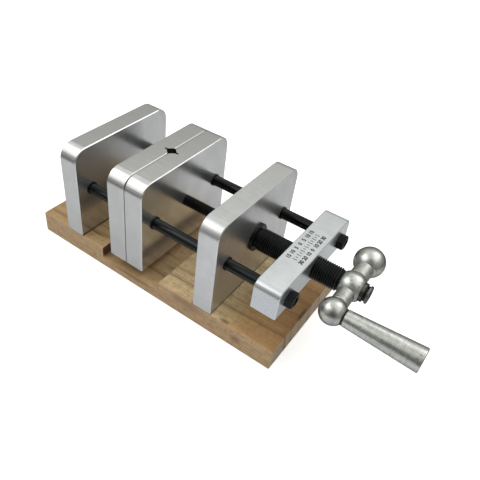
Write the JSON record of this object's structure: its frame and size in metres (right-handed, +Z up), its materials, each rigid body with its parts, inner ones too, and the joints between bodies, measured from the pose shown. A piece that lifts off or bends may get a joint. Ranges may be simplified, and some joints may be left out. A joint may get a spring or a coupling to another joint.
{
  "type": "pen blank drilling vise",
  "caption": "Self-centring drilling vise for pen blanks: V-grooved aluminium jaws on guide rods, a hollow double-thread spindle and a ball crank, on a grooved wooden board.",
  "frame": {"origin": "middle of the wooden board's bottom face", "axes": "+X along the spindle towards the crank, +Y across the jaws, +Z up"},
  "size_m": [0.2888, 0.096, 0.0892],
  "materials": {
    "oiled_hardwood": "planed, laminated, oiled",
    "brushed_aluminium": "fine brushed faces, bright bevels",
    "turned_steel": "satin, lathe turned",
    "black_steel": "black oxide, lightly oiled",
    "bronze": "machined bearing bronze",
    "black_nylon": "turned nylon"
  },
  "bodies": {
    "board": {"base_board": "oiled_hardwood", "rear_plate": "brushed_aluminium", "bearing_plate": "brushed_aluminium", "rear_plate_screws": "black_steel", "bearing_plate_screws": "black_steel", "rear_plate_bushes": "black_steel", "bearing_plate_bushes": "black_steel", "spindle_bush": "bronze"},
    "pull_frame": {"rear_jaw": "brushed_aluminium", "rear_jaw_set_screws": "black_steel", "guide_rod_near": "black_steel", "guide_rod_far": "black_steel", "pull_bar": "brushed_aluminium", "rod_nuts": "black_steel"},
    "front_jaw": {"front_jaw": "brushed_aluminium", "front_jaw_bushes": "black_steel", "draw_screw": "black_steel", "draw_screw_pin": "turned_steel"},
    "spindle": {"spindle_sleeve": "black_steel", "thrust_washer": "bronze", "retaining_ring": "black_steel", "crank_arm": "turned_steel", "crank_key": "black_steel", "crank_washer": "turned_steel", "crank_lock_washer": "black_steel", "crank_screw": "black_steel", "grip_axle": "black_steel", "grip_washer": "black_nylon"},
    "grip": {"grip": "turned_steel", "grip_bush": "bronze"}
  },
  "joints": [
    {"name": "spindle_turn", "type": "hinge", "parent": "board", "child": "spindle", "pos_m": [0.12752, 0, 0.0546], "axis": [1, 0, 0], "range_deg": [0, 5580]},
    {"name": "pull_frame_slide", "type": "slide", "parent": "board", "child": "pull_frame", "axis": [-1, 0, 0], "range_m": [0, 0.02325]},
    {"name": "front_jaw_slide", "type": "slide", "parent": "board", "child": "front_jaw", "axis": [1, 0, 0], "range_m": [0, 0.02325]},
    {"name": "grip_turn", "type": "hinge", "parent": "spindle", "child": "grip", "pos_m": [0.15752, -0.02584, 0.05383], "axis": [1, 0, 0], "continuous": true}
  ],
  "couplings": [
    {"joint": "pull_frame_slide", "follows": "spindle_turn", "m_per_rad": 0.00023873},
    {"joint": "front_jaw_slide", "follows": "spindle_turn", "m_per_rad": 0.00023873}
  ]
}
